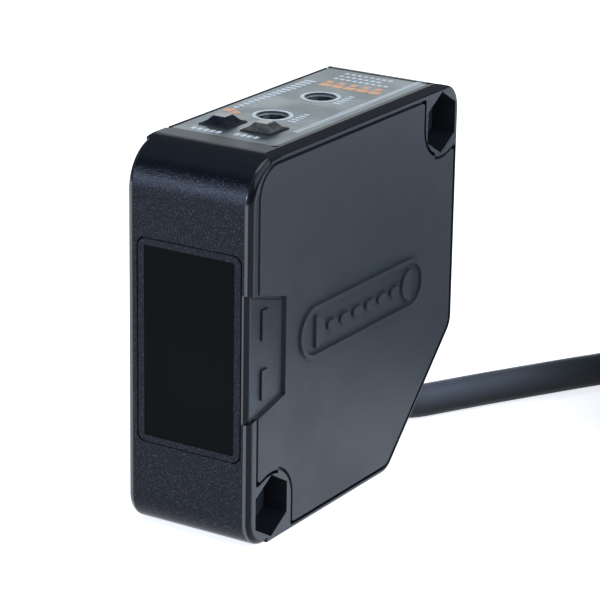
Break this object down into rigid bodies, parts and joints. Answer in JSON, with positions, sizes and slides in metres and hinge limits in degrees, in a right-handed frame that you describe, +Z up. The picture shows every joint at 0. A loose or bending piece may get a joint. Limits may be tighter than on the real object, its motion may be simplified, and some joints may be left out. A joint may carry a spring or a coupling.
{
  "type": "photoelectric sensor",
  "caption": "Compact rectangular photoelectric sensor with a dark front window, top adjusters and indicators, nut-pocket mounting holes and a pre-wired cable.",
  "frame": {"origin": "middle of the underside of the case, without its cable", "axes": "+Z up towards the label and adjusters; -Y is where the sensing window looks; +X is the side with the lid"},
  "size_m": [0.0888, 0.111, 0.051],
  "materials": {
    "case_plastic": "black spark-eroded texture",
    "cover_plastic": "dark grey, fine matt texture",
    "window_filter": "polished near-black light filter",
    "label_plate": "printed satin film",
    "seal_rubber": "matt",
    "optical_black": "matt",
    "tinned_metal": "tin plated",
    "board": "solder mask",
    "ferrite": "sintered",
    "winding": "yellow tape",
    "capacitor_can": "sleeved can",
    "chip_plastic": "moulded epoxy",
    "varistor": "dipped",
    "relay_case": "moulded",
    "lens_clear": "polished acrylic",
    "diode_red": "clear red epoxy",
    "diode_dark": "dark filter epoxy",
    "trimmer_plastic": "moulded",
    "wiper_plastic": "moulded",
    "adjuster_plastic": "moulded",
    "lens_green": "translucent, unlit green",
    "lens_orange": "translucent, unlit orange",
    "cable_jacket": "soft PVC, satin",
    "tie_plastic": "strap",
    "wire_brown": "PVC core",
    "wire_blue": "PVC core",
    "wire_white": "PVC core",
    "wire_black": "PVC core",
    "wire_grey": "PVC core"
  },
  "bodies": {
    "root": {"adjuster_board": "board", "board_pins": "tinned_metal", "bulk_capacitor": "capacitor_can", "cable_bushing": "seal_rubber", "cable_clamp": "optical_black", "cable_coil": "cable_jacket", "cable_lead": "cable_jacket", "cable_tail": "cable_jacket", "coil_tie": "tie_plastic", "control_board": "board", "control_chip": "chip_plastic", "cover_seal": "seal_rubber", "emitter_diode": "diode_red", "emitter_lens": "lens_clear", "end_wire_black": "wire_black", "end_wire_blue": "wire_blue", "end_wire_brown": "wire_brown", "end_wire_grey": "wire_grey", "end_wire_white": "wire_white", "front_window": "window_filter", "inner_sheath": "cable_jacket", "inner_wire_black": "wire_black", "inner_wire_blue": "wire_blue", "inner_wire_brown": "wire_brown", "inner_wire_grey": "wire_grey", "inner_wire_white": "wire_white", "main_case": "case_plastic", "mode_base": "trimmer_plastic", "mode_seal": "seal_rubber", "operation_led": "chip_plastic", "operation_lens": "lens_orange", "optical_block": "optical_black", "output_relay": "relay_case", "receiver_diode": "diode_dark", "receiver_lens": "lens_clear", "receiver_shield": "tinned_metal", "rectifier": "chip_plastic", "sensitivity_base": "trimmer_plastic", "sensitivity_seal": "seal_rubber", "side_cover": "cover_plastic", "stability_led": "chip_plastic", "stability_lens": "lens_green", "surge_absorber": "varistor", "top_label": "label_plate", "transformer_core": "ferrite", "transformer_winding": "winding", "window_bezel": "case_plastic", "window_seal": "seal_rubber", "wire_tips": "tinned_metal"},
    "sensitivity_adjuster": {"sensitivity_rotor": "adjuster_plastic", "sensitivity_wiper": "wiper_plastic"},
    "mode_selector": {"mode_rotor": "adjuster_plastic", "mode_wiper": "wiper_plastic"}
  },
  "joints": [
    {"name": "sensitivity_turn", "type": "hinge", "parent": "root", "child": "sensitivity_adjuster", "pos_m": [-0.0016, -0.004, 0.048], "axis": [0, 0, 1], "range_deg": [-115, 115]},
    {"name": "mode_turn", "type": "hinge", "parent": "root", "child": "mode_selector", "pos_m": [-0.0015, 0.0073, 0.048], "axis": [0, 0, 1], "range_deg": [0, 90]}
  ]
}
